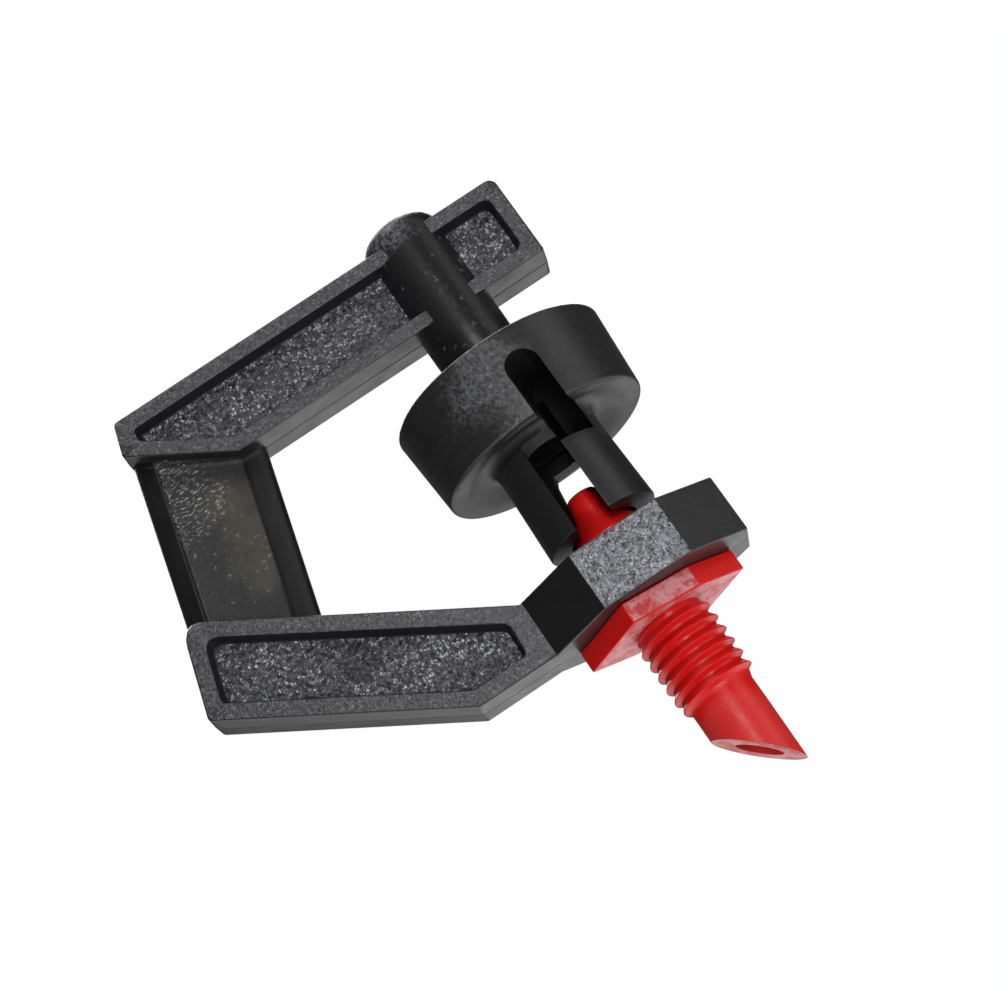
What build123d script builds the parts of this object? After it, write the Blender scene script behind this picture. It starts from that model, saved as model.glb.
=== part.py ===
"""Rotary micro-sprinkler: a red punch nozzle, a one-sided bridge and a jet-driven rotor.

Millimetres. +Z runs up along the jet, and X lies in the plane of the bridge, with the
spine at -X and the finger tab at +X. The origin is the centre of the nozzle flange's
underside, the face that seats on the supply tube.
"""

import os

from build123d import *

os.makedirs("parts", exist_ok=True)

# ---- driving dimensions: nozzle -------------------------------------------------------
stem_r = 1.90               # plain stem, 3.8 across
stem_tip_r = 1.86           # the punch end draws in a little
tip_z = -10.46              # point of the punch
bevel_start_z = -6.90       # where the bevel leaves the stem's far side
thread_crest_r = 2.33
thread_root_r = 2.02
thread_pitch = 0.78
thread_crest_at = 0.62      # share of the pitch from a ridge's top to its crest
thread_overlap = 0.30       # how deep the ridges run into the stem
thread_turns = 6
thread_top_z = -0.15
inlet_r = 0.95              # bore of the stem
flange_h = 1.25
flange_tips = [(-4.95, 0.50), (5.00, -0.20)]
flange_near = [(-1.90, -3.45), (2.28, -2.35)]
flange_far = [(1.90, 3.70), (-2.28, 2.60)]
body_r = 2.35               # plain body inside the collar
shoulder_z = 5.98           # the rotor's skirt comes down to just above this
shoulder_edge = 0.10
flare_h = 1.15              # height of the curve from the shoulder into the jet
flare_mid = (0.32, 0.36)    # halfway point of the curve, out from the jet and up
jet_r = 1.06
jet_top_z = 8.52
jet_taper = 0.16            # the jet is this much thinner at its top
orifice_r = 0.45

# ---- driving dimensions: bridge -------------------------------------------------------
arm_half = 1.79             # half the thickness of both arms, along Y
collar_z = (1.25, 4.84)
collar_half_x = 6.18
collar_half_y = 4.30
collar_front_x = 2.74       # half width of the flat front and back
collar_end_y = 1.72
top_arm_z = (21.08, 26.59)
tab_end_x = 6.20
spine_half = 1.35
boss_r = 2.37
boss_dome_h = 1.40
dome_mid = (0.72, 0.31)     # halfway round the dome: share of the radius, share of the height down
boss_top_z = 28.25
boss_end_z = 17.98
panel_rim = 0.90
panel_depth = 0.95

# ---- driving dimensions: rotor --------------------------------------------------------
drum_z = (11.77, 16.78)
drum_r = (6.27, 6.60)       # bottom, top
drum_edge = 0.25
skirt_end_z = 6.12
skirt_r = (3.37, 3.19)      # lower end, root
skirt_bore_r = 2.10
skirt_gap = (2.20, 2.06)    # width of the front split at the lower end and at the root
rear_gap_w = 1.60           # the rear split is narrower, and stops short of the drum
rear_gap_top_z = 10.95
groove_r = (3.40, 4.80)     # ring-shaped groove in the drum's underside
groove_depth = 0.80
groove_step = 0.40          # height of the groove's upright inner wall
groove_slopes = (0.30, 0.60)
slot_w = 1.94
slot_x = 1.89               # the slot is off the axis, which is what spins the rotor
rotor_turn = -8.5           # degrees about Z at rest, a free angle
slot_top_z = 15.34
channel_r = 1.35            # where the jet rises inside the drum
lift_travel = 1.00          # the rotor floats up this far under the jet

# ---- driving dimensions: axle ---------------------------------------------------------
pin_r = 1.00
pin_clearance = 0.05
pin_grip = 1.30             # length held in the rotor's hub
pin_top_z = 25.60
pin_edge = 0.15
pin_bore_spare = 0.10       # the bore in the boss ends this far above the lifted pin

fit_gap = 0.02              # a light push fit, drawn just clear
past = 1.00                 # how far a cut runs past the face that it opens

# ---- nozzle ---------------------------------------------------------------------------
with BuildPart() as nozzle:
    with BuildSketch(Plane.XZ):
        with BuildLine():
            Polyline(
                (0, tip_z - past), (stem_tip_r, tip_z - past), (stem_tip_r, tip_z), (stem_r, bevel_start_z),
                (stem_r, thread_top_z), (body_r, thread_top_z), (body_r, shoulder_z - shoulder_edge),
                (body_r - shoulder_edge, shoulder_z),
            )
            Spline(
                (body_r - shoulder_edge, shoulder_z), (jet_r + flare_mid[0], shoulder_z + flare_mid[1]),
                (jet_r, shoulder_z + flare_h),
                tangents=[(-1, 0.08), (-0.05, 1)],
            )
            Polyline(
                (jet_r, shoulder_z + flare_h), (jet_r - jet_taper, jet_top_z), (0, jet_top_z),
                (0, tip_z - past),
            )
        make_face()
    revolve(axis=Axis.Z)
    with BuildSketch(Plane.XY):
        Polygon(flange_tips[0], *flange_near, flange_tips[1], *flange_far, align=None)
    extrude(amount=flange_h)
    # thread ridges, one per turn
    with BuildSketch(Plane.XZ):
        for turn in range(thread_turns):
            top = thread_top_z - turn * thread_pitch
            Polygon(
                (stem_r - thread_overlap, top), (thread_root_r, top),
                (thread_crest_r, top - thread_crest_at * thread_pitch),
                (thread_root_r, top - thread_pitch), (stem_r - thread_overlap, top - thread_pitch),
                align=None,
            )
    revolve(axis=Axis.Z)
    # the bevel of the punch tip faces -X and down
    with BuildSketch(Plane.XZ):
        slope = (tip_z - bevel_start_z) / (2 * stem_r)
        Polygon(
            (-stem_r - past, bevel_start_z - slope * past), (stem_r + past, tip_z + slope * past),
            (stem_r + past, tip_z - 3 * past), (-stem_r - past, tip_z - 3 * past), align=None,
        )
    extrude(amount=stem_r + past, both=True, mode=Mode.SUBTRACT)
    with Locations((0, 0, (tip_z + collar_z[1]) / 2)):
        Cylinder(inlet_r, collar_z[1] - tip_z + past, mode=Mode.SUBTRACT)
    with Locations((0, 0, jet_top_z)):
        Cylinder(orifice_r, 2 * (jet_top_z - collar_z[1]), mode=Mode.SUBTRACT)
nozzle.part.label = "nozzle"
export_step(nozzle.part, "parts/nozzle.step")

# ---- bridge_frame ---------------------------------------------------------------------
top_arm = [
    (tab_end_x, top_arm_z[0]), (tab_end_x, top_arm_z[1]), (-18.70, top_arm_z[1]),
    (-19.50, 26.00), (-19.75, 24.60), (-14.25, top_arm_z[0]),
]
lower_arm = [
    (-21.20, 14.06), (-6.24, collar_z[1]), (-5.40, collar_z[1]), (-5.40, collar_z[0]),
    (-11.01, collar_z[0]), (-23.45, 8.98), (-22.08, 13.75),
]
lower_panel_side = [
    (-21.20, 13.95), (-6.32, 4.72), (-6.52, 1.31), (-11.01, 1.31), (-23.38, 9.00), (-22.02, 13.65),
]
spine = [(-19.40, 24.80), (-13.07, 20.95), (-15.55, 10.50), (-22.10, 13.30)]

with BuildPart() as bridge_frame:
    for outline, half in ((top_arm, arm_half), (lower_arm, arm_half), (spine, spine_half)):
        with BuildSketch(Plane.XZ):
            Polygon(*outline, align=None)
        extrude(amount=half, both=True)
    # panels sunk into the front and the back of both arms
    with BuildSketch(Plane.XZ) as panel_outline:
        for outline in (top_arm, lower_panel_side):
            with BuildSketch(Plane.XZ, mode=Mode.PRIVATE) as shrunk:
                Polygon(*outline, align=None)
                offset(amount=-panel_rim)
            add(shrunk.sketch_local)
    for side in (1, -1):
        with BuildSketch(Plane.XZ.offset(side * arm_half)):
            add(panel_outline.sketch_local)
        extrude(amount=-side * panel_depth, mode=Mode.SUBTRACT)
    with BuildSketch(Plane.XY.offset(collar_z[0])):
        Polygon(
            (collar_half_x, -collar_end_y), (collar_half_x, collar_end_y),
            (collar_front_x, collar_half_y), (-collar_front_x, collar_half_y),
            (-collar_half_x, collar_end_y), (-collar_half_x, -collar_end_y),
            (-collar_front_x, -collar_half_y), (collar_front_x, -collar_half_y), align=None,
        )
    extrude(amount=collar_z[1] - collar_z[0])
    # bearing boss with its domed top
    with BuildSketch(Plane.XZ):
        with BuildLine():
            Polyline(
                (0, boss_top_z), (0, boss_end_z), (boss_r, boss_end_z),
                (boss_r, boss_top_z - boss_dome_h),
            )
            Spline(
                (boss_r, boss_top_z - boss_dome_h),
                (dome_mid[0] * boss_r, boss_top_z - dome_mid[1] * boss_dome_h),
                (0, boss_top_z), tangents=[(0, 1), (-1, 0)],
            )
        make_face()
    revolve(axis=Axis.Z)
    bore_h = pin_top_z + lift_travel - boss_end_z
    with Locations((0, 0, boss_end_z + bore_h / 2)):
        Cylinder(pin_r + pin_clearance, bore_h + 2 * pin_bore_spare, mode=Mode.SUBTRACT)
    with Locations((0, 0, (collar_z[0] + collar_z[1]) / 2)):
        Cylinder(body_r + fit_gap, collar_z[1] - collar_z[0] + past, mode=Mode.SUBTRACT)
bridge_frame.part.label = "bridge_frame"
export_step(bridge_frame.part, "parts/bridge_frame.step")

# ---- rotor ----------------------------------------------------------------------------
rotor_front = Plane.XZ.rotated((0, 0, rotor_turn))

with BuildPart() as rotor:
    with BuildSketch(Plane.XZ):
        Polygon(
            (0, drum_z[0]), (0, drum_z[1]), (drum_r[1], drum_z[1]), (drum_r[0], drum_z[0]), align=None,
        )
    revolve(axis=Axis.Z)
    fillet(rotor.edges().filter_by(GeomType.CIRCLE), drum_edge)
    # ring-shaped groove around the root of the skirt
    with BuildSketch(Plane.XZ):
        Polygon(
            (groove_r[0], drum_z[0] - past), (groove_r[0], drum_z[0] + groove_step),
            (groove_r[0] + groove_slopes[0], drum_z[0] + groove_depth),
            (groove_r[1] - groove_slopes[1], drum_z[0] + groove_depth),
            (groove_r[1], drum_z[0]), (groove_r[1], drum_z[0] - past), align=None,
        )
    revolve(axis=Axis.Z, mode=Mode.SUBTRACT)
    # skirt that hangs over the jet
    with BuildSketch(Plane.XZ):
        Polygon(
            (0, skirt_end_z), (skirt_r[0], skirt_end_z), (skirt_r[1], drum_z[0] + groove_depth),
            (0, drum_z[0] + groove_depth), align=None,
        )
    revolve(axis=Axis.Z)
    # bore over the jet, and the narrower channel that it rises through
    for radius, top in ((skirt_bore_r, drum_z[0]), (channel_r, slot_top_z - slot_w / 2)):
        with BuildSketch(Plane.XY.offset(skirt_end_z)):
            Circle(radius)
        extrude(amount=top - skirt_end_z, mode=Mode.SUBTRACT)
    # the splits leave two prongs, bridged at their roots behind
    with BuildSketch(rotor_front):
        Polygon(
            (-skirt_gap[0] / 2, skirt_end_z - past), (skirt_gap[0] / 2, skirt_end_z - past),
            (skirt_gap[1] / 2, drum_z[0]), (-skirt_gap[1] / 2, drum_z[0]), align=None,
        )
    extrude(amount=drum_r[1], mode=Mode.SUBTRACT)
    with BuildSketch(rotor_front):
        Polygon(
            (-rear_gap_w / 2, skirt_end_z - past), (rear_gap_w / 2, skirt_end_z - past),
            (rear_gap_w / 2, rear_gap_top_z), (-rear_gap_w / 2, rear_gap_top_z), align=None,
        )
    extrude(amount=-drum_r[1], mode=Mode.SUBTRACT)
    # off-centre slot in the drum's side, round at its top and open below
    with BuildSketch(rotor_front):
        with Locations((slot_x, slot_top_z - slot_w / 2)):
            Circle(slot_w / 2)
        Polygon(
            (slot_x - slot_w / 2, drum_z[0]), (slot_x + slot_w / 2, drum_z[0]),
            (slot_x + slot_w / 2, slot_top_z - slot_w / 2), (slot_x - slot_w / 2, slot_top_z - slot_w / 2),
            align=None,
        )
    extrude(amount=drum_r[1] + past, mode=Mode.SUBTRACT)
    with Locations((0, 0, drum_z[1])):
        Cylinder(pin_r + fit_gap, 2 * pin_grip, mode=Mode.SUBTRACT)
rotor.part.label = "rotor"
export_step(rotor.part, "parts/rotor.step")

# ---- axle_pin -------------------------------------------------------------------------
with BuildPart() as axle_pin:
    with BuildSketch(Plane.XY.offset(drum_z[1] - pin_grip + fit_gap)):
        Circle(pin_r)
    extrude(amount=pin_top_z - drum_z[1] + pin_grip - fit_gap)
    chamfer(axle_pin.edges(), pin_edge)
axle_pin.part.label = "axle_pin"
export_step(axle_pin.part, "parts/axle_pin.step")
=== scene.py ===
"""Looks of the bridge micro-sprinkler: detailed mouldings, plastics, soft studio light and camera."""

import math

import bmesh
import bpy
from mathutils import Matrix, Vector


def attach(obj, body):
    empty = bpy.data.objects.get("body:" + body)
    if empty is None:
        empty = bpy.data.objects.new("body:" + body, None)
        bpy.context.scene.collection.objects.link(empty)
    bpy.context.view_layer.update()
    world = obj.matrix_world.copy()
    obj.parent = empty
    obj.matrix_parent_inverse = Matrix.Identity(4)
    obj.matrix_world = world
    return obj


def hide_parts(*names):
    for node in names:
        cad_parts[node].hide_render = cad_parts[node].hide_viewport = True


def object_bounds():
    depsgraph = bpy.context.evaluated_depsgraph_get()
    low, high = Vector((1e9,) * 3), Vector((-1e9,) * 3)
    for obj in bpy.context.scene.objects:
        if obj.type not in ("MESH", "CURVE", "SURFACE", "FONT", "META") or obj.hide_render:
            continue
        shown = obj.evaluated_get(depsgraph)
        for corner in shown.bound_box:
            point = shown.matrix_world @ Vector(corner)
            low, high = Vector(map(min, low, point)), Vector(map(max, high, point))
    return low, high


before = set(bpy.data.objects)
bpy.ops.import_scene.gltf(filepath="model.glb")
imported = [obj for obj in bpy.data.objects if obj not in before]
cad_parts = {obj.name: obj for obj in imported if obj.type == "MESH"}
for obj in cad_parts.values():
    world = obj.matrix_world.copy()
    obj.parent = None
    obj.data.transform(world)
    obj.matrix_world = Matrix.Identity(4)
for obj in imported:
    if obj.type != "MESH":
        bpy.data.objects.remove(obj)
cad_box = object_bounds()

MM = 0.001

# ---- sizes in millimetres, in the frame of the CAD model ------------------------------
# bridge
arm_half = 1.79             # half the thickness of the arms
panel_floor_y = 0.90        # half the thickness between the two sunk panels
rim = 0.86                  # width of the raised rim round a panel
top_arm_z = (21.08, 26.59)
tab_end_x = 6.20
collar_z = (1.25, 4.84)
collar_end_x = 6.18
collar_front_x = 2.74
collar_half_y = 4.30
collar_end_y = 1.72
boss_r = 2.37
boss_top_z = 28.25
boss_end_z = 17.98
boss_dome_h = 1.40
seat_x = (-1.75, -1.17)     # the notches where the long arm's rims meet the boss
pin_bore_r = 1.05
pin_bore_top_z = 26.80

# nozzle
body_r = 2.35
stem_r = 1.90
stem_tip_r = 1.86
tip_z = -10.46
bevel_start_z = -6.90
thread_crest_r = 2.33
thread_root_r = 2.03
thread_pitch = 0.78
thread_turns = 6.5          # counted down to where the ridge has faded
thread_top_z = -0.15
inlet_r = 0.95
inlet_top_z = 3.0
flange_h = 1.25
shoulder_z = 5.98
jet_r = 1.06
jet_top_z = 8.52
orifice_r = 0.45
orifice_low_z = 2.5         # inside the inlet bore
flare_h = 2.10
flare_sink = 0.53           # how far below the shoulder the flare starts

# rotor
drum_z = (11.77, 16.78)
drum_r = (6.27, 6.60)
skirt_end_z = 6.12
skirt_r = (3.37, 3.19)
skirt_bore_r = 2.10
skirt_gap = (2.20, 2.06)
rear_gap_top_z = 10.95
slot_w = 1.94
slot_x = 1.89
slot_top_z = 15.34
rotor_turn = -8.5           # degrees, the angle at rest
channel_r = 1.35
pin_r = 1.00
hub_depth = 1.3

# camera: degrees, and millimetres
view_azimuth = -3.691
view_elevation = -18.237
view_roll = -34.824
view_distance = 151.574
view_target = (-3.743, 0, 10.891)
view_lens = 99.315


# ---- mesh building --------------------------------------------------------------------
def rounded(points, inset, radius, steps=5):
    """The outline moved inwards by inset, each corner rounded by radius (one, or one per corner)."""
    count = len(points)
    area = sum(
        points[i][0] * points[(i + 1) % count][1] - points[(i + 1) % count][0] * points[i][1]
        for i in range(count)
    )
    turn = 1 if area > 0 else -1
    radii = radius if isinstance(radius, (list, tuple)) else [radius] * count
    sharpest = 0.3                                # keeps the mitre of a very sharp corner short
    corners = []
    for i in range(count):
        here = Vector(points[i])
        before = (here - Vector(points[i - 1])).normalized()
        after = (Vector(points[(i + 1) % count]) - here).normalized()
        normal_a = Vector((-before.y, before.x)) * turn
        normal_b = Vector((-after.y, after.x)) * turn
        mitre = (normal_a + normal_b).normalized()
        moved = here + mitre * (inset / max(mitre.dot(normal_a), sharpest))
        corners.append((moved, before, after))
    outline = []
    for (here, before, after), corner_r in zip(corners, radii):
        reach = corner_r * math.tan(before.angle(after) / 2)
        start = here - before * reach
        end = here + after * reach
        for k in range(steps + 1):
            t = k / steps
            outline.append(start * (1 - t) ** 2 + here * (2 * t * (1 - t)) + end * t**2)
    return outline


def as_object(name, bm):
    """A new object in the scene from bm, which is freed."""
    mesh = bpy.data.meshes.new(name)
    bm.to_mesh(mesh)
    bm.free()
    piece = bpy.data.objects.new(name, mesh)
    bpy.context.scene.collection.objects.link(piece)
    return piece


def loft(name, rings, bands, caps=(0, 0)):
    """A closed mesh through rings of equal length. bands and caps give material indices."""
    merge = 2e-4
    bm = bmesh.new()
    rows = [[bm.verts.new(p) for p in ring] for ring in rings]
    count = len(rings[0])
    for row, (low, high) in enumerate(zip(rows, rows[1:])):
        for i in range(count):
            j = (i + 1) % count
            face = bm.faces.new((low[i], low[j], high[j], high[i]))
            face.material_index = bands[row]
    for row, index in ((rows[0][::-1], caps[0]), (rows[-1], caps[1])):
        bm.faces.new(row).material_index = index
    bmesh.ops.remove_doubles(bm, verts=bm.verts, dist=merge)
    bmesh.ops.dissolve_degenerate(bm, edges=bm.edges, dist=merge)
    bmesh.ops.recalc_face_normals(bm, faces=bm.faces)
    return as_object(name, bm)


def circle(radius, z, count):
    """Points round the Z axis at height z."""
    return [
        (radius * math.cos(math.tau * k / count), radius * math.sin(math.tau * k / count), z)
        for k in range(count)
    ]


def lathe(name, profile, bands=None, segments=128):
    """A closed solid of revolution about Z. profile is (radius, z) from one end to the other."""
    rings = [circle(radius, z, segments) for radius, z in profile]
    return loft(name, rings, bands or [0] * (len(profile) - 1))


def arc(centre, radius, start, end, steps):
    """Points of a circular arc in a profile, angles in degrees."""
    points = []
    for k in range(steps + 1):
        angle = math.radians(start + (end - start) * k / steps)
        points.append((centre[0] + radius * math.cos(angle), centre[1] + radius * math.sin(angle)))
    return points


def paint(piece, *materials):
    """Gives the piece its material slots and returns it."""
    for material in materials:
        piece.data.materials.append(material)
    return piece


def plug(radius, low, high, material):
    """A cutter for a plain round hole about the Z axis."""
    profile = [(0, low), (radius, low), (radius, high), (0, high)]
    return paint(lathe("plug", profile, segments=96), material)


def bore(radius, low, high, material, flare=0.0):
    """A cutter for a round hole whose lower mouth, at low, may be opened a little by flare."""
    profile = [
        (0.0, low - 1), (radius + flare, low - 1), (radius + flare, low), (radius, low + flare),
        (radius, high), (0, high),
    ]
    return paint(lathe("bore", profile, segments=96), material)


def prism(outline, y_start, y_end, material):
    """A cutter with an outline in the XZ plane, from y_start to y_end."""
    rings = [[(x, y, z) for x, z in outline] for y in (y_start, y_end)]
    return paint(loft("prism", rings, [0]), material)


def combine(target, tool, operation):
    """Applies one boolean and uses the tool up. Its materials come along."""
    modifier = target.modifiers.new("combine", "BOOLEAN")
    modifier.operation = operation
    modifier.object = tool
    modifier.solver = "MANIFOLD"
    modifier.material_mode = "TRANSFER"
    depsgraph = bpy.context.evaluated_depsgraph_get()
    mesh = bpy.data.meshes.new_from_object(target.evaluated_get(depsgraph))
    target.modifiers.clear()
    old = target.data
    target.data = mesh
    bpy.data.meshes.remove(old)
    bpy.data.meshes.remove(tool.data)


def finish_mesh(piece):
    """Merges stray points, goes to metres and shades smooth except at sharp edges."""
    merge = 5e-4
    sharp_angle = 32
    bm = bmesh.new()
    bm.from_mesh(piece.data)
    bmesh.ops.remove_doubles(bm, verts=bm.verts, dist=merge)
    bmesh.ops.dissolve_degenerate(bm, edges=bm.edges, dist=merge)
    loose = [v for v in bm.verts if not v.link_faces]
    bmesh.ops.delete(bm, geom=loose, context="VERTS")
    bmesh.ops.scale(bm, vec=(MM, MM, MM), verts=bm.verts)
    bm.to_mesh(piece.data)
    bm.free()
    piece.data.shade_smooth()
    piece.data.set_sharp_from_angle(angle=math.radians(sharp_angle))
    weighted = piece.modifiers.new("weighted", "WEIGHTED_NORMAL")
    weighted.keep_sharp = True


# ---- materials ------------------------------------------------------------------------
class Plastic:
    """One moulded plastic: a shader with a bump chain that features are added to."""

    def __init__(self, name, roughness, specular=0.5, edge=0.0):
        self.material = bpy.data.materials.new(name)
        self.material.use_nodes = True
        self.nodes = self.material.node_tree.nodes
        self.links = self.material.node_tree.links
        self.shader = self.nodes["Principled BSDF"]
        self.shader.inputs["Roughness"].default_value = roughness
        self.shader.inputs["Specular IOR Level"].default_value = specular
        self.coords = self.nodes.new("ShaderNodeTexCoord").outputs["Object"]
        self.normal = None
        if edge:
            bevel = self.nodes.new("ShaderNodeBevel")
            bevel.samples = 4
            bevel.inputs["Radius"].default_value = edge * MM
            self.normal = bevel.outputs["Normal"]
            self.links.new(self.normal, self.shader.inputs["Normal"])

    def maths(self, operation, *values):
        """A maths node on outputs of other nodes and plain numbers."""
        node = self.nodes.new("ShaderNodeMath")
        node.operation = operation
        for socket, value in zip(node.inputs, values):
            if isinstance(value, (int, float)):
                socket.default_value = value
            else:
                self.links.new(value, socket)
        return node.outputs["Value"]

    def ramp(self, value, low, high, low_out=0.0, high_out=1.0):
        """A smooth step from low_out to high_out as value goes from low to high."""
        ramp = self.nodes.new("ShaderNodeMapRange")
        ramp.interpolation_type = "SMOOTHSTEP"
        for name, number in (
            ("From Min", low), ("From Max", high), ("To Min", low_out), ("To Max", high_out),
        ):
            ramp.inputs[name].default_value = number
        self.links.new(value, ramp.inputs["Value"])
        return ramp.outputs["Result"]

    def mix(self, value, colour_a, colour_b):
        """A colour from colour_a to colour_b as value goes from 0 to 1."""
        mix = self.nodes.new("ShaderNodeMix")
        mix.data_type = "RGBA"
        for name, colour in (("A", colour_a), ("B", colour_b)):
            if isinstance(colour, tuple):
                mix.inputs[name].default_value = (*colour, 1)
            else:
                self.links.new(colour, mix.inputs[name])
        self.links.new(value, mix.inputs["Factor"])
        return mix.outputs["Result"]

    def noise(self, size, detail=3.0, stretch=(1, 1, 1), rough=0.5):
        """Noise whose features are about size millimetres."""
        place = self.nodes.new("ShaderNodeMapping")
        place.inputs["Scale"].default_value = stretch
        self.links.new(self.coords, place.inputs["Vector"])
        noise = self.nodes.new("ShaderNodeTexNoise")
        noise.inputs["Scale"].default_value = 1 / (size * MM)
        noise.inputs["Detail"].default_value = detail
        noise.inputs["Roughness"].default_value = rough
        self.links.new(place.outputs["Vector"], noise.inputs["Vector"])
        return noise.outputs["Fac"]

    def painted_glints(self, size, fewest):
        """Painted glints about size millimetres apart, each as bright as its own draw is above fewest.
        """
        warp_detail = 1.6
        warp_reach = 2.2
        warp = self.nodes.new("ShaderNodeTexNoise")
        warp.inputs["Scale"].default_value = warp_detail / (size * MM)
        warp.inputs["Detail"].default_value = 1.0
        self.links.new(self.coords, warp.inputs["Vector"])
        shift = self.nodes.new("ShaderNodeVectorMath")
        shift.operation = "MULTIPLY_ADD"
        shift.inputs[1].default_value = (warp_reach * size * MM,) * 3
        self.links.new(warp.outputs["Color"], shift.inputs[0])
        self.links.new(self.coords, shift.inputs[2])
        cells = self.nodes.new("ShaderNodeTexVoronoi")
        cells.inputs["Scale"].default_value = 1 / (size * MM)
        self.links.new(shift.outputs["Vector"], cells.inputs["Vector"])
        split = self.nodes.new("ShaderNodeSeparateColor")
        self.links.new(cells.outputs["Color"], split.inputs["Color"])
        disc = self.ramp(cells.outputs["Distance"], low=0.16, high=0.60, low_out=1.0, high_out=0.0)
        return self.maths("MULTIPLY", disc, self.ramp(split.outputs["Red"], fewest, 1.0))

    def grain_and_glints(self, size, fewest, ground):
        """Painted glints over a mottled grain ground, thicker in some places than in others."""
        # The beads are glints painted into the base colour; the mottled ground is the grain's own tone.
        painted_glints = self.painted_glints(size, fewest)
        broad = self.ramp(self.noise(size * 8, detail=2), low=0.30, high=0.62, low_out=0.35)
        mottled = self.ramp(self.noise(size * 1.1, detail=2), low=0.30, high=0.70, high_out=ground)
        return self.maths("MULTIPLY_ADD", painted_glints, broad, mottled)

    def near(self, spot, reach, soft):
        """1 within reach millimetres of spot, falling to 0 over soft millimetres with a ragged edge."""
        gap = self.nodes.new("ShaderNodeVectorMath")
        gap.operation = "DISTANCE"
        gap.inputs[1].default_value = Vector(spot) * MM
        self.links.new(self.coords, gap.inputs[0])
        cloud = self.noise(size=1.6, detail=4)
        ragged = self.maths("MULTIPLY_ADD", cloud, 2.0 * soft * MM, gap.outputs["Value"])
        return self.ramp(ragged, (reach + soft) * MM, (reach + 2 * soft) * MM, 1.0, 0.0)

    def tint(self, value, colour_a, colour_b):
        """Base colour from colour_a to colour_b as value goes from 0 to 1."""
        self.links.new(self.mix(value, colour_a, colour_b), self.shader.inputs["Base Color"])

    def gloss(self, value, low, high):
        """Roughness from low to high as value goes from 0.3 to 0.7."""
        self.links.new(self.ramp(value, 0.3, 0.7, low, high), self.shader.inputs["Roughness"])

    def bump(self, height, depth):
        """Adds relief of about depth millimetres."""
        bump = self.nodes.new("ShaderNodeBump")
        bump.inputs["Distance"].default_value = depth * MM
        self.links.new(height, bump.inputs["Height"])
        if self.normal:
            self.links.new(self.normal, bump.inputs["Normal"])
        self.normal = bump.outputs["Normal"]
        self.links.new(self.normal, self.shader.inputs["Normal"])


def black_grain():
    """Fine spark-eroded grain of the raised rims, with painted glints."""
    plastic = Plastic("black_grain", roughness=0.34, specular=0.5)
    # Painted glints: the bright beads are highlights put into the base colour.
    grain_and_glints = plastic.grain_and_glints(size=0.14, fewest=0.50, ground=0.26)
    plastic.tint(grain_and_glints, (0.013, 0.013, 0.016), (0.165, 0.168, 0.190))
    plastic.bump(plastic.noise(size=0.16, rough=0.6), depth=0.05)
    return plastic.material


def black_floor():
    """Coarser grain of the sunk panels with painted glints, and a faint round ejector mark in the lower
    one.
    """
    plastic = Plastic("black_floor", roughness=0.36, specular=0.34)
    # Painted glints: the bright beads are highlights put into the base colour; the ejector mark dims
    # them.
    grain_and_glints = plastic.grain_and_glints(size=0.18, fewest=0.32, ground=0.09)
    mark = plastic.near((-15.07, -panel_floor_y, 7.31), reach=1.05, soft=0.15)
    dimmed = plastic.maths("MULTIPLY", grain_and_glints, plastic.maths("MULTIPLY_ADD", mark, -0.6, 1.0))
    plastic.tint(dimmed, (0.003, 0.003, 0.005), (0.520, 0.528, 0.570))
    plastic.bump(plastic.noise(size=0.20, detail=2), depth=0.11)
    return plastic.material


def black_satin():
    """Smooth side faces, a little uneven in tone and gloss."""
    plastic = Plastic("black_satin", roughness=0.34, specular=0.40, edge=0.05)
    plastic.tint(plastic.noise(size=1.2, detail=4), (0.004, 0.004, 0.004), (0.010, 0.010, 0.011))
    plastic.gloss(plastic.noise(size=1.4), low=0.28, high=0.38)
    plastic.bump(plastic.noise(size=0.9), depth=0.015)
    return plastic.material


def boss_satin():
    """The bearing boss, satin like the sides, with stray painted glints and grain and a painted
    highlight on its dome.
    """
    plastic = Plastic("boss_satin", roughness=0.36, specular=0.36, edge=0.05)
    # Painted highlight: the dome's left top gets paler grain where a soft highlight falls.
    dome_grain_and_highlight = plastic.near((-0.8, -1.6, 27.6), reach=1.2, soft=1.0)
    grain_and_glints = plastic.grain_and_glints(size=0.17, fewest=0.50, ground=0.50)
    grain = plastic.maths("MULTIPLY", grain_and_glints, plastic.maths("MULTIPLY_ADD", dome_grain_and_highlight, 0.9, 0.03))
    # Stray painted glints on the sides of the boss.
    stray_painted_glints = plastic.maths("MULTIPLY", plastic.painted_glints(size=0.26, fewest=0.93), 0.5)
    marks = plastic.maths("ADD", grain, stray_painted_glints)
    plastic.tint(marks, (0.006, 0.006, 0.007), (0.190, 0.192, 0.200))
    plastic.bump(plastic.noise(size=0.5, detail=4, rough=0.6), depth=0.02)
    return plastic.material


def black_wall():
    """The drafted walls round the sunk panels."""
    plastic = Plastic("black_wall", roughness=0.50, specular=0.20)
    plastic.tint(plastic.noise(size=0.8), (0.004, 0.004, 0.005), (0.010, 0.010, 0.011))
    plastic.bump(plastic.noise(size=0.6), depth=0.01)
    return plastic.material


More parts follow.
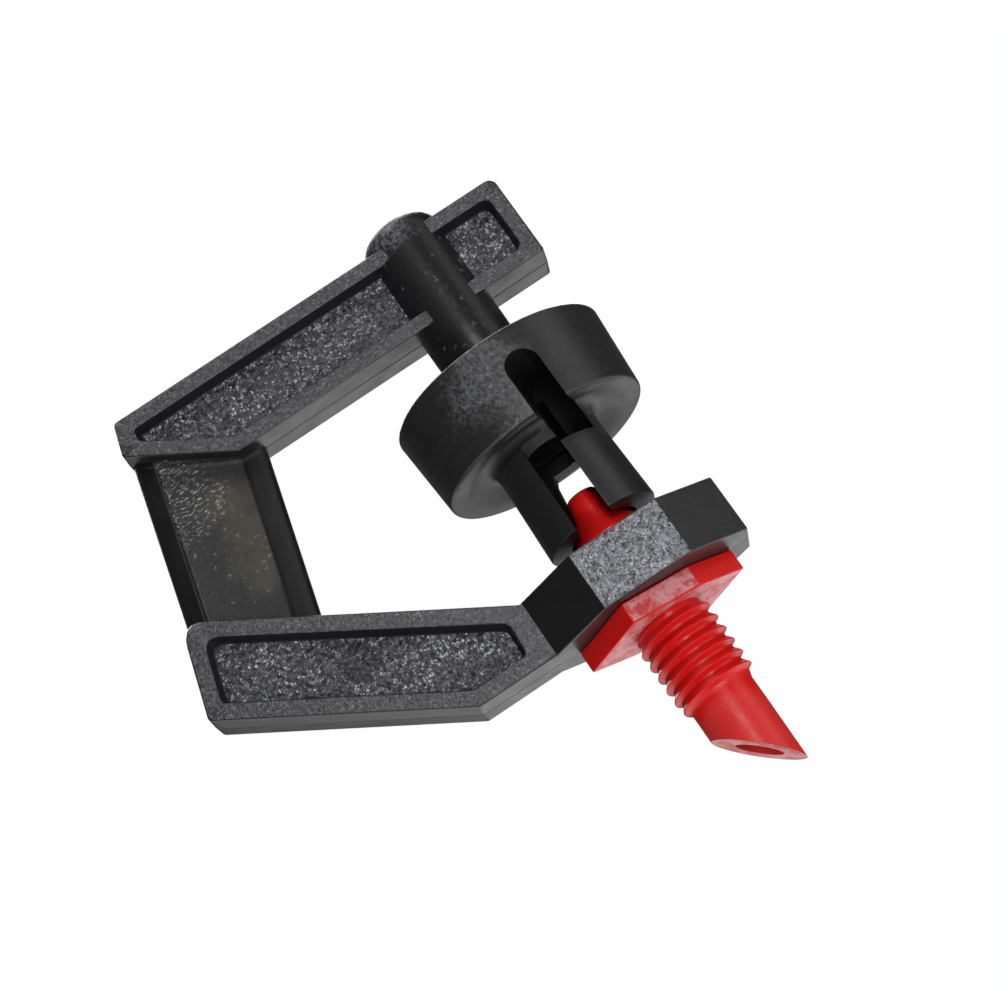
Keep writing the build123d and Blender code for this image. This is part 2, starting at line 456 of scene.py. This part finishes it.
def black_worn():
    """The spine's middle: scuffed, with painted glints, and a brown cast where it has rubbed."""
    plastic = Plastic("black_worn", roughness=0.40, specular=0.45)
    face_y = -0.55
    brown = plastic.near((-16.3, face_y, 19.4), reach=0.5, soft=1.6)
    for spot in ((-16.5, face_y, 17.3), (-16.8, face_y, 15.2)):
        brown = plastic.maths("MAXIMUM", brown, plastic.near(spot, reach=0.6, soft=1.6))
    scuffs = plastic.near((-18.4, face_y, 21.2), reach=0.6, soft=2.6)
    streaks = plastic.ramp(plastic.noise(size=0.14, stretch=(0.42, 1, 1.2)), low=0.52, high=0.72)
    # Painted glints: the fine bright beads.
    fine = plastic.maths("MULTIPLY", plastic.painted_glints(size=0.20, fewest=0.90), 0.35)
    marks = plastic.maths("MAXIMUM", plastic.maths("MULTIPLY", streaks, scuffs), fine)
    shade = plastic.mix(brown, (0.009, 0.009, 0.010), (0.034, 0.027, 0.019))
    plastic.tint(marks, shade, (0.30, 0.30, 0.29))
    plastic.bump(plastic.noise(size=0.22, detail=4, stretch=(0.5, 1, 1), rough=0.6), depth=0.025)
    plastic.bump(marks, depth=0.03)
    return plastic.material


def black_bright():
    """The collar's flat face, with the strongest grain and painted glints."""
    plastic = Plastic("black_bright", roughness=0.28, specular=0.6, edge=0.05)
    # Painted glints: the bright beads are highlights put into the base colour.
    grain_and_glints = plastic.grain_and_glints(size=0.20, fewest=0.35, ground=0.40)
    plastic.tint(grain_and_glints, (0.013, 0.014, 0.018), (0.285, 0.293, 0.330))
    plastic.bump(plastic.noise(size=0.30, detail=2), depth=0.11)
    return plastic.material


def rotor_satin():
    """The rotor's smooth skin, with a grained patch beside the slot whose sparkle is painted as glints.
    """
    plastic = Plastic("rotor_satin", roughness=0.38, specular=0.42, edge=0.03)
    patch = plastic.near((-1.2, -6.2, 14.9), reach=1.3, soft=2.1)
    # Painted glints: the patch's bright beads are highlights put into the base colour.
    grain_and_glints = plastic.grain_and_glints(size=0.22, fewest=0.55, ground=0.50)
    grain = plastic.maths("MULTIPLY", grain_and_glints, plastic.maths("MULTIPLY_ADD", patch, 0.92, 0.08))
    plastic.tint(grain, (0.010, 0.010, 0.010), (0.100, 0.102, 0.110))
    pitted = plastic.maths("MULTIPLY", plastic.noise(size=0.20, rough=0.6), patch)
    plastic.bump(pitted, depth=0.10)
    plastic.bump(plastic.noise(size=1.1), depth=0.015)
    return plastic.material


def rotor_under():
    """The drum's underside: dark as painted shade, with painted light paler towards its left and right
    ends.
    """
    plastic = Plastic("rotor_under", roughness=0.46, specular=0.26)
    # Painted light: paler patches at the left and right ends; the dark base colour is painted shade.
    left = plastic.near((-4.4, -2.2, 11.9), reach=0.8, soft=1.3)
    right = plastic.near((5.2, -1.2, 11.9), reach=1.6, soft=1.4)
    lit_ends = plastic.maths("MAXIMUM", left, right)
    cloud = plastic.noise(size=0.7, detail=4, rough=0.6)
    mottled = plastic.ramp(cloud, low=0.36, high=0.66, low_out=0.35)
    lit_ends_mottled = plastic.maths("MULTIPLY", lit_ends, mottled)
    plastic.tint(lit_ends_mottled, (0.005, 0.005, 0.005), (0.046, 0.048, 0.048))
    plastic.bump(plastic.noise(size=0.5), depth=0.03)
    return plastic.material


def rotor_inside():
    """The rotor's cut faces and bores: dull, and darker than the skin as painted shade inside the cuts.
    """
    plastic = Plastic("rotor_inside", roughness=0.55, specular=0.15, edge=0.06)
    # Painted shade: the cut faces and bores get a darker colour than the skin.
    plastic.tint(plastic.noise(size=0.8), (0.003, 0.003, 0.003), (0.007, 0.007, 0.007))
    plastic.bump(plastic.noise(size=0.5), depth=0.01)
    return plastic.material


def red_satin():
    """The nozzle's moulded skin, a little paler on the punch end."""
    plastic = Plastic("red_satin", roughness=0.36, specular=0.30, edge=0.05)
    worn = plastic.near((-0.6, -1.6, -8.6), reach=2.6, soft=1.2)
    plastic.tint(worn, (0.46, 0.0025, 0.002), (0.44, 0.018, 0.017))
    plastic.gloss(plastic.noise(size=0.7), low=0.30, high=0.44)
    plastic.bump(plastic.noise(size=0.22), depth=0.014)
    return plastic.material


def red_painted_lit():
    """The jet, a brighter red than the rest as painted light, with a fine pebbled highlight."""
    plastic = Plastic("red_painted_lit", roughness=0.26, specular=0.80, edge=0.05)
    # Painted light: the jet's red is brighter than the nozzle's skin so that it reads lit inside the
    # prongs' shade.
    plastic.tint(plastic.noise(size=0.5), (0.66, 0.006, 0.005), (0.86, 0.014, 0.013))
    plastic.bump(plastic.noise(size=0.18, rough=0.6), depth=0.030)
    return plastic.material


def red_rough():
    """Sheared or worn red plastic, paler than the moulded skin."""
    plastic = Plastic("red_rough", roughness=0.50, specular=0.5, edge=0.06)
    broad = plastic.noise(size=1.3, detail=5, rough=0.65)
    fine = plastic.noise(size=0.20)
    wear = plastic.ramp(plastic.maths("MULTIPLY_ADD", fine, 0.35, broad), low=0.52, high=0.80)
    plastic.tint(wear, (0.37, 0.019, 0.017), (0.46, 0.190, 0.200))
    plastic.bump(plastic.noise(size=0.30, rough=0.6), depth=0.05)
    return plastic.material


def steel():
    """Bright wire with drawing marks along Z."""
    metal = Plastic("drawn_steel", roughness=0.30)
    metal.shader.inputs["Base Color"].default_value = (0.52, 0.52, 0.53, 1)
    metal.shader.inputs["Metallic"].default_value = 1.0
    metal.bump(metal.noise(size=0.10, stretch=(1, 1, 0.04)), depth=0.01)
    return metal.material


GRAIN = black_grain()
FLOOR = black_floor()
SATIN = black_satin()
BOSS = boss_satin()
WALL = black_wall()
WORN = black_worn()
BRIGHT = black_bright()
ROTOR = rotor_satin()
ROTOR_UNDER = rotor_under()
ROTOR_INSIDE = rotor_inside()
RED = red_satin()
RED_PAINTED_LIT = red_painted_lit()
RED_ROUGH = red_rough()


# ---- bridge ---------------------------------------------------------------------------
def arm(name, outline, panel, outline_r, panel_r):
    """An H-section arm: rims round a sunk panel on both faces, widest at the parting line."""
    groove = 0.05                                 # depth and half width of the parting line
    edge = 0.11                                   # how far an outer edge is softened
    wall = 0.22                                   # how far a panel's wall leans in
    foot = 0.28
    half = [                                      # shape, inset, distance from the middle
        (outline, groove, 0.0),
        (outline, 0.0, groove),
        (outline, 0.03, arm_half - 0.10),
        (outline, edge / 2, arm_half - 0.035),
        (outline, edge, arm_half),
        (panel, rim, arm_half),
        (panel, rim + 0.05, arm_half - 0.05),
        (panel, rim + wall, panel_floor_y + 0.06),
        (panel, rim + foot, panel_floor_y),
    ]
    rings = []
    for side, levels in ((-1, half[::-1]), (1, half[1:])):
        for shape, inset, y in levels:
            flat = rounded(shape, inset, outline_r if shape is outline else panel_r)
            rings.append([(p.x, side * y, p.y) for p in flat])
    side_slot, rim_slot, floor_slot, wall_slot = range(4)
    bands = [side_slot] * 4 + [rim_slot] * 2 + [wall_slot] * 2
    piece = loft(name, rings, bands[::-1] + bands, caps=(floor_slot, floor_slot))
    return paint(piece, SATIN, GRAIN, FLOOR, WALL)


def top_arm():
    """The arm over the rotor, with the finger tab at its right end."""
    low, high = top_arm_z
    outline = [
        (tab_end_x, low), (tab_end_x, high), (-19.22, high + 0.07), (-19.52, 25.60), (-19.80, 24.60),
        (-14.22, low),
    ]
    panel = [
        (tab_end_x, low), (tab_end_x, high), (-19.28, high), (-19.382, 25.29), (-19.45, 24.42),
        (-14.25, low),
    ]
    outline_r = [0.2, 0.55, 0.3, 0.1, 0.3, 0.2]
    panel_r = [0.5, 0.6, 0.25, 0.0, 0.3, 0.4]
    return arm("top_arm", outline, panel, outline_r, panel_r)


def lower_arm():
    """The arm from the collar out to the spine."""
    low, high = collar_z
    inner_x = -5.40
    bend_x = -11.01                               # where the underside turns level
    outline = [
        (-22.00, 14.71), (-6.24, high), (inner_x, high), (inner_x, low), (bend_x, low),
        (-23.58, 9.01),
    ]
    panel = [
        (-21.95, 14.64), (-6.32, 4.76), (-6.40, 3.2), (-6.52, 1.31), (bend_x, 1.31), (-23.50, 9.06),
    ]
    outline_r = [1.15, 0.1, 0.0, 0.0, 0.3, 0.35]
    panel_r = [0.75, 0.7, 0.0, 0.4, 0.9, 0.4]
    return arm("lower_arm", outline, panel, outline_r, panel_r)


def spine():
    """The leaning spine: a ridge near its left edge, a sunk middle and a raised right band."""
    top = [Vector((-19.62, 24.45)), Vector((-14.2, 21.42)), Vector((-12.72, 21.42))]
    bend = 0.80                                   # share of the width where the arm turns level
    bottom = [Vector((-22.36, 12.95)), Vector((-15.72, 9.75))]
    length = 11.0
    head = 0.35                                   # how far the spine starts above the arm's foot
    satin, worn, wall = range(3)
    section = [                                   # share of the width, half thickness, material
        (0.0, 0.0, satin), (0.012, 0.25, satin), (0.035, 0.50, satin), (0.09, 0.70, satin),
        (0.145, 0.86, satin), (0.158, 0.90, satin), (0.17, 0.87, worn), (0.18, 0.64, worn),
        (0.195, 0.57, worn), (0.48, 0.53, worn), (0.785, 0.55, worn), (0.80, 0.57, wall),
        (0.815, 0.62, wall), (0.84, 0.64, wall), (0.91, 0.64, wall), (0.95, 0.62, wall),
        (0.975, 0.56, satin), (0.99, 0.40, satin), (0.997, 0.2, satin), (1.0, 0.0, satin),
    ]
    fillet_r = 0.45
    fillet_reach = 1.00
    left_fade = 0.15                              # shares of the width over which the fillet grows
    right_fade = 0.03
    plain_steps = 6
    distances = [-0.55, -0.1, 0.0, 0.03, 0.08, 0.15, 0.25, 0.36, fillet_r]
    distances += [fillet_r + (length - fillet_r) * k / plain_steps for k in range(1, plain_steps + 1)]
    columns = []
    for share, half, _ in section:
        if share < bend:
            start = top[0].lerp(top[1], share / bend)
        else:
            start = top[1].lerp(top[2], (share - bend) / (1 - bend))
        end = bottom[0].lerp(bottom[1], share)
        grown = min(share / left_fade, (1 - share) / right_fade, 1.0)
        columns.append((start, end, half, grown))
    rows = []
    for distance in distances:
        fill = 0.0
        if distance < fillet_r:
            gap = fillet_r - max(distance, 0.0)
            fill = fillet_reach - math.sqrt(max(fillet_r**2 - gap**2, 0.0))
        front = []
        for start, end, half, grown in columns:
            spot = start + (end - start) * (distance + head) / (length + head)
            front.append((spot.x, -max(half, fill * grown), spot.y))
        back = [(x, -y, z) for x, y, z in front[1:-1]][::-1]
        rows.append(front + back)
    bm = bmesh.new()
    grid = [[bm.verts.new(p) for p in row] for row in rows]
    count = len(rows[0])
    last = len(section) - 1
    for low, high in zip(grid, grid[1:]):
        for i in range(count):
            j = (i + 1) % count
            face = bm.faces.new((low[i], low[j], high[j], high[i]))
            column = i if i < last else count - 1 - i
            face.material_index = section[column][2]
    bm.faces.new(grid[0][::-1])
    bm.faces.new(grid[-1])
    bmesh.ops.recalc_face_normals(bm, faces=bm.faces)
    return paint(as_object("spine", bm), SATIN, WORN, WALL)


def collar():
    """The eight-sided collar with softened edges and a bright flat front and back."""
    outline = [
        (collar_end_x, -collar_end_y), (collar_end_x, collar_end_y),
        (collar_front_x, collar_half_y), (-collar_front_x, collar_half_y),
        (-collar_end_x, collar_end_y), (-collar_end_x, -collar_end_y),
        (-collar_front_x, -collar_half_y), (collar_front_x, -collar_half_y),
    ]
    low, high = collar_z
    levels = (
        (low, 0.10), (low + 0.03, 0.03), (low + 0.08, 0.0),
        (high - 0.10, 0.0), (high - 0.03, 0.04), (high, 0.12),
    )
    rings = []
    for z, inset in levels:
        rings.append([(p.x, p.y, z) for p in rounded(outline, inset, radius=0.12, steps=3)])
    satin, bright, grain = range(3)
    piece = paint(loft("collar", rings, [satin] * 5), SATIN, BRIGHT, GRAIN)
    for face in piece.data.polygons:
        if abs(face.normal.y) > 0.99 and abs(face.center.x) < collar_front_x:
            face.material_index = bright
        elif abs(face.normal.x) > 0.99:
            face.material_index = grain
    return piece


def boss():
    """The bearing boss with its dome, which is a little fuller than a ball."""
    wide_power = 0.94
    high_power = 0.92
    taper_z = 20.0                                # the side draws in a little below this height
    profile = [(0.0, boss_top_z), (0.4, boss_top_z - 0.01)]
    for degrees in range(12, 91, 6):
        lean = math.radians(degrees)
        profile.append((
            boss_r * math.sin(lean) ** wide_power,
            boss_top_z - boss_dome_h * (1 - math.cos(lean) ** high_power),
        ))
    profile += [(boss_r, taper_z), (boss_r - 0.02, boss_end_z + 0.12)]
    profile += [(boss_r - 0.05, boss_end_z + 0.04), (boss_r - 0.14, boss_end_z), (0.0, boss_end_z)]
    return paint(lathe("boss", profile), BOSS)


def rail_seats():
    """Cutters that let the long arm's rims end squarely on the boss instead of fading into it."""
    low_z, high_z = top_arm_z
    margin = 0.02
    depth = 1.0
    bm = bmesh.new()
    for low, high in ((low_z + margin, low_z + rim), (high_z - rim, high_z - margin)):
        for side in (-1, 1):
            spot = (sum(seat_x) / 2, side * (arm_half + depth / 2), (low + high) / 2)
            size = Matrix.Diagonal((seat_x[1] - seat_x[0], depth, high - low, 1))
            bmesh.ops.create_cube(bm, size=1.0, matrix=Matrix.Translation(spot) @ size)
    return paint(as_object("seats", bm), GRAIN)


def bridge():
    """The black moulding: both arms, the spine, the collar and the boss with their bores."""
    piece = top_arm()
    for make in (lower_arm, spine, collar, boss):
        combine(piece, make(), "UNION")
    combine(piece, rail_seats(), "DIFFERENCE")
    combine(piece, bore(pin_bore_r, boss_end_z, pin_bore_top_z, SATIN, flare=0.08), "DIFFERENCE")
    combine(piece, bore(body_r + 0.02, collar_z[0], collar_z[1] + 1, SATIN), "DIFFERENCE")
    finish_mesh(piece)
    return piece


# ---- nozzle ---------------------------------------------------------------------------
def threaded_stem():
    """Neck, right-handed buttress thread, plain stem and uncut tip, as one skin."""
    around = 120
    merge = 2e-3
    ridge = [                                     # share of the pitch, share of the height
        (0.0, 0.0), (0.10, 0.02), (0.52, 0.88), (0.60, 1.0), (0.65, 0.98), (0.74, 0.55), (0.90, 0.03),
    ]
    fade_in_h = 0.30
    fade_out_h = 0.45
    end_z = thread_top_z - thread_turns * thread_pitch
    bm = bmesh.new()

    def skin(rows):
        for low, high in zip(rows, rows[1:]):
            for k in range(around):
                j = (k + 1) % len(low)
                bm.faces.new((low[k], low[j], high[j], high[k]))

    grid = []
    for row in range(-len(ridge), (math.ceil(thread_turns) + 1) * len(ridge) + 1):
        turn, step = divmod(row, len(ridge))
        phase, height = ridge[step]
        line = []
        for k in range(around + 1):
            z = thread_top_z - (turn + phase) * thread_pitch + thread_pitch * k / around
            z = min(max(z, end_z), thread_top_z)
            fade_in = min(max((thread_top_z - z) / fade_in_h, 0.0), 1.0)
            fade_out = min(max((z - end_z) / fade_out_h, 0.0), 1.0)
            base = thread_root_r + (stem_r - thread_root_r) * (1 - fade_out)
            radius = base + (thread_crest_r - thread_root_r) * height * fade_in * fade_out
            angle = math.tau * k / around
            line.append(bm.verts.new((radius * math.cos(angle), radius * math.sin(angle), z)))
        grid.append(line)
    skin(grid)
    neck = [(thread_root_r, thread_top_z), (thread_root_r, 0.3)]
    stem = [(stem_r, end_z), (stem_r, bevel_start_z), (stem_tip_r, tip_z), (stem_tip_r, tip_z - 1)]
    for profile in (neck, stem):
        rows = [[bm.verts.new(p) for p in circle(r, z, around)] for r, z in profile]
        skin(rows)
        bm.faces.new(rows[-1])
    bmesh.ops.remove_doubles(bm, verts=bm.verts, dist=merge)
    bmesh.ops.dissolve_degenerate(bm, edges=bm.edges, dist=merge)
    bmesh.ops.recalc_face_normals(bm, faces=bm.faces)
    return paint(as_object("nozzle", bm), RED, RED_ROUGH)


def flange():
    """The six-sided flange, pointed at both ends, with rough faces where it was worked."""
    outline = [(-4.95, 0.50), (-1.90, -3.45), (2.28, -2.35), (5.00, -0.20), (1.90, 3.70), (-2.28, 2.60)]
    levels = ((-0.05, 0.07), (-0.02, 0.02), (0.05, 0.0), (1.15, 0.0), (1.22, 0.03), (flange_h, 0.10))
    rings = []
    for z, inset in levels:
        rings.append([(p.x, p.y, z) for p in rounded(outline, inset, radius=0.16, steps=3)])
    smooth, rough = range(2)
    piece = paint(loft("flange", rings, [smooth] * 5, caps=(rough, smooth)), RED, RED_ROUGH)
    for face in piece.data.polygons:
        upright = abs(face.normal.z) < 0.3
        if upright and abs(face.normal.x) < 0.5 and face.area > 1.0:
            face.material_index = rough
    return piece


def jet():
    """The body inside the collar, the flare above it and the jet."""
    low_z = 0.2
    wide = body_r - 0.02 - jet_r
    flare_low_z = shoulder_z - flare_sink
    steps = 16
    flare_power = 1.5
    top_r = jet_r - 0.16
    profile = [(0.0, low_z), (body_r, low_z), (body_r, flare_low_z - 0.03)]
    for k in range(steps + 1):
        t = k / steps
        profile.append((jet_r + wide * (1 - t) ** flare_power, flare_low_z + flare_h * t))
    profile += [(top_r + 0.02, jet_top_z - 0.10), (top_r - 0.04, jet_top_z - 0.03)]
    profile += [(top_r - 0.12, jet_top_z), (0.0, jet_top_z)]
    return paint(lathe("jet", profile, segments=120), RED_PAINTED_LIT)


def tip_cutter():
    """Everything below the slanted cut of the punch tip, which faces -X and down."""
    slope = (tip_z - bevel_start_z) / (2 * stem_r)
    reach = 3.0
    deep = 8
    left = (-stem_r - reach, bevel_start_z - slope * reach)
    right = (stem_r + reach, tip_z + slope * reach)
    outline = [left, right, (right[0], tip_z - deep), (left[0], tip_z - deep)]
    return prism(outline, -4.0, 4.0, RED_ROUGH)


def nozzle():
    """The red moulding, with its cut tip and its bores."""
    piece = threaded_stem()
    combine(piece, jet(), "UNION")
    combine(piece, flange(), "UNION")
    combine(piece, tip_cutter(), "DIFFERENCE")
    combine(piece, bore(inlet_r, tip_z - 2, inlet_top_z, RED), "DIFFERENCE")
    combine(piece, bore(orifice_r, orifice_low_z, jet_top_z + 1, RED), "DIFFERENCE")
    finish_mesh(piece)
    return piece


# ---- rotor ----------------------------------------------------------------------------
def drum_and_skirt():
    """The solid of revolution that the rotor is cut from, with a dished underside."""
    edge = 0.25
    top_edge = 0.15
    low_z, top_z = drum_z
    low_r, top_r = drum_r
    end_r, root_r = skirt_r
    profile = [(0.0, top_z)]
    profile += arc((top_r - top_edge, top_z - top_edge), top_edge, start=90, end=2, steps=6)
    profile += arc((low_r - edge, low_z + edge), edge, start=-2, end=-90, steps=8)
    dish = [                                      # radius, height above the drum's lower rim
        (5.50, 0.02), (5.15, 0.10), (4.80, 0.24), (4.45, 0.42), (4.10, 0.58), (3.80, 0.66),
        (3.55, 0.62), (3.38, 0.48), (3.27, 0.22), (3.22, -0.15),
    ]
    profile += [(r, low_z + rise) for r, rise in dish]
    profile += [(root_r + 0.02, low_z - 0.8), (end_r, skirt_end_z + 0.16)]
    profile += [(end_r - 0.05, skirt_end_z + 0.05), (end_r - 0.16, skirt_end_z), (0.0, skirt_end_z)]
    satin, under = range(2)
    bands = []
    for (r, z), (next_r, next_z) in zip(profile, profile[1:]):
        level = low_z - 0.2 < min(z, next_z) < low_z + 0.7
        dished = level and 3.25 < max(r, next_r) < low_r - 0.1
        bands.append(under if dished else satin)
    return paint(lathe("rotor", profile, bands, segments=160), ROTOR, ROTOR_UNDER, ROTOR_INSIDE)


def rotor():
    """The drum with its off-centre slot and the split skirt, turned to its rest angle."""
    low_z, top_z = drum_z
    past = 8.0                                    # the cutters reach this far, beyond the drum
    overlap = 1
    piece = drum_and_skirt()
    start_z = skirt_end_z - overlap
    combine(piece, plug(skirt_bore_r, start_z, low_z, ROTOR_INSIDE), "DIFFERENCE")
    round_z = slot_top_z - slot_w / 2
    combine(piece, plug(channel_r, low_z - overlap, round_z, ROTOR_INSIDE), "DIFFERENCE")
    wide, narrow = (w / 2 for w in skirt_gap)
    gap = [(-wide, start_z), (wide, start_z), (narrow, low_z), (-narrow, low_z)]
    combine(piece, prism(gap, -past, 0.0, ROTOR_INSIDE), "DIFFERENCE")
    arch = [(1.04, 9.60), (0.92, 10.55), (0.74, rear_gap_top_z)]
    rear = [(-wide, start_z), (wide, start_z)] + arch + [(-x, z) for x, z in arch[::-1]]
    combine(piece, prism(rear, -0.01, past, ROTOR_INSIDE), "DIFFERENCE")
    half = slot_w / 2
    slot = [(slot_x - half, low_z - overlap), (slot_x + half, low_z - overlap)]
    slot += [(slot_x + x, z) for x, z in arc((0.0, round_z), half, start=0, end=180, steps=24)]
    combine(piece, prism(slot, -past, 0.0, ROTOR_INSIDE), "DIFFERENCE")
    combine(piece, plug(pin_r + 0.02, top_z - hub_depth, top_z + overlap, ROTOR), "DIFFERENCE")
    piece.data.transform(Matrix.Rotation(math.radians(rotor_turn), 4, "Z"))
    finish_mesh(piece)
    return piece


# ---- the object -----------------------------------------------------------------------
for make, name, node, body, slot_name in (
    (bridge, "bridge", "bridge_frame", "frame", "bridge_black"),
    (nozzle, "punch_nozzle", "nozzle", "frame", "nozzle_red"),
    (rotor, "slotted_rotor", "rotor", "rotor", "rotor_black"),
):
    piece = make()
    piece.name = name
    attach(piece, body)
    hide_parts(node)

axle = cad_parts["axle_pin"]
axle.data.materials.clear()
paint(axle, steel())


# ---- stage, light and camera ----------------------------------------------------------
def stage_floor():
    """A plain pale floor well below the object, in metres."""
    size = 1.5
    floor_z = -0.10
    bm = bmesh.new()
    corners = ((-1, -1), (1, -1), (1, 1), (-1, 1))
    bm.faces.new([bm.verts.new((x * size, y * size, floor_z)) for x, y in corners])
    piece = as_object("floor", bm)
    material = bpy.data.materials.new("floor_pale")
    material.use_nodes = True
    shader = material.node_tree.nodes["Principled BSDF"]
    shader.inputs["Base Color"].default_value = (0.80, 0.80, 0.80, 1)
    shader.inputs["Roughness"].default_value = 0.8
    paint(piece, material)


def soft_light(name, spot, size, power):
    """A rectangular soft light at spot, facing the object, all in millimetres and watts."""
    object_centre = (cad_box[0] + cad_box[1]) / 2
    light = bpy.data.lights.new(name, "AREA")
    light.shape = "RECTANGLE"
    light.size = size[0] * MM
    light.size_y = size[1] * MM
    light.energy = power
    lamp = bpy.data.objects.new(name, light)
    lamp.location = Vector(spot) * MM
    lamp.rotation_mode = "QUATERNION"
    lamp.rotation_quaternion = (object_centre - lamp.location).to_track_quat("-Z", "Y")
    bpy.context.scene.collection.objects.link(lamp)


def white_world(lit, seen):
    """An even white room: seen is what the camera meets, lit is how strongly it lights."""
    world = bpy.data.worlds.new("studio")
    bpy.context.scene.world = world
    world.use_nodes = True
    nodes = world.node_tree.nodes
    links = world.node_tree.links
    background = nodes["Background"]
    background.inputs["Color"].default_value = (1, 1, 1, 1)
    path = nodes.new("ShaderNodeLightPath")
    level = nodes.new("ShaderNodeMapRange")
    level.inputs["To Min"].default_value = lit
    level.inputs["To Max"].default_value = seen
    links.new(path.outputs["Is Camera Ray"], level.inputs["Value"])
    links.new(level.outputs["Result"], background.inputs["Strength"])


def camera():
    """A long lens from the front, a little to the left and well below, rolled to the right."""
    azimuth, elevation, roll = (math.radians(a) for a in (view_azimuth, view_elevation, view_roll))
    back = Vector((
        math.sin(azimuth) * math.cos(elevation),
        -math.cos(azimuth) * math.cos(elevation),
        math.sin(elevation),
    ))
    level_right = Vector((math.cos(azimuth), math.sin(azimuth), 0))
    level_up = back.cross(level_right)
    right = level_right * math.cos(roll) + level_up * math.sin(roll)
    up = level_up * math.cos(roll) - level_right * math.sin(roll)
    data = bpy.data.cameras.new("camera")
    data.sensor_width = 36
    data.lens = view_lens
    data.clip_start = 0.005
    lens = bpy.data.objects.new("camera", data)
    place = Vector(view_target) * MM + back * view_distance * MM
    lens.matrix_world = Matrix.Translation(place) @ Matrix((right, up, back)).transposed().to_4x4()
    bpy.context.scene.collection.objects.link(lens)
    bpy.context.scene.camera = lens


stage_floor()
white_world(lit=0.05, seen=1.0)
soft_light("top", (-40, -170, 310), (180, 140), 0.55)
soft_light("right", (310, -150, 40), (200, 300), 0.26)
soft_light("front", (14, -120, 26), (22, 34), 0.045)
soft_light("below", (20, -95, -55), (60, 40), 0.048)
soft_light("behind", (0, 260, 400), (450, 450), 6.0)
camera()
bpy.context.scene.view_settings.view_transform = "Standard"
